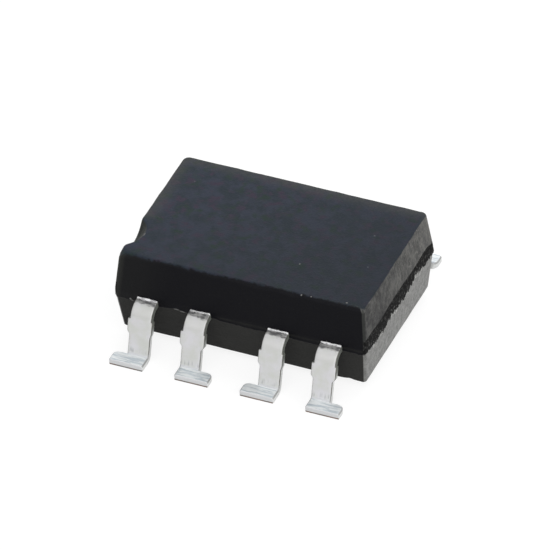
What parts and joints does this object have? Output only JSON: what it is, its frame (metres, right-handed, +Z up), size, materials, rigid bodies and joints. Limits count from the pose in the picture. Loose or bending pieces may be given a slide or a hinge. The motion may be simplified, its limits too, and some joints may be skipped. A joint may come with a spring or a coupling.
{
  "type": "optocoupler",
  "caption": "Surface-mount optocoupler: dark moulded resin body with an index notch at one end and tinned gull-wing leads bent out to flat solder feet.",
  "frame": {"origin": "middle of the seating plane, halfway between the two rows of feet and the two body ends", "axes": "+Z up from the board, +X along the body away from the notched end, +Y from the row of leads 1 to 4 to the row of leads 5 to 8"},
  "size_m": [0.0098, 0.0098, 0.0037],
  "materials": {
    "mould": "matte spark-eroded epoxy moulding compound",
    "inner_mould": "white infrared-clear epoxy",
    "lead_frame": "satin matte tin plating on copper alloy",
    "emitter_die": "polished gallium arsenide",
    "detector_die": "polished silicon",
    "die_attach": "silver-filled epoxy",
    "bond_wire": "drawn gold",
    "silicone": "clear soft silicone"
  },
  "bodies": {
    "root": {"outer_mould": "mould", "inner_mould_1": "inner_mould", "inner_mould_2": "inner_mould", "led_chip_1": "emitter_die", "led_chip_2": "emitter_die", "led_attach_1": "die_attach", "led_attach_2": "die_attach", "led_wire_1": "bond_wire", "led_wire_2": "bond_wire", "silicone_dome_1": "silicone", "silicone_dome_2": "silicone", "detector_chip_1": "detector_die", "detector_chip_2": "detector_die", "detector_attach_1": "die_attach", "detector_attach_2": "die_attach", "detector_wire_1": "bond_wire", "detector_wire_2": "bond_wire", "lead_1": "lead_frame", "lead_2": "lead_frame", "lead_3": "lead_frame", "lead_4": "lead_frame", "lead_5": "lead_frame", "lead_6": "lead_frame", "lead_7": "lead_frame", "lead_8": "lead_frame"}
  },
  "joints": []
}
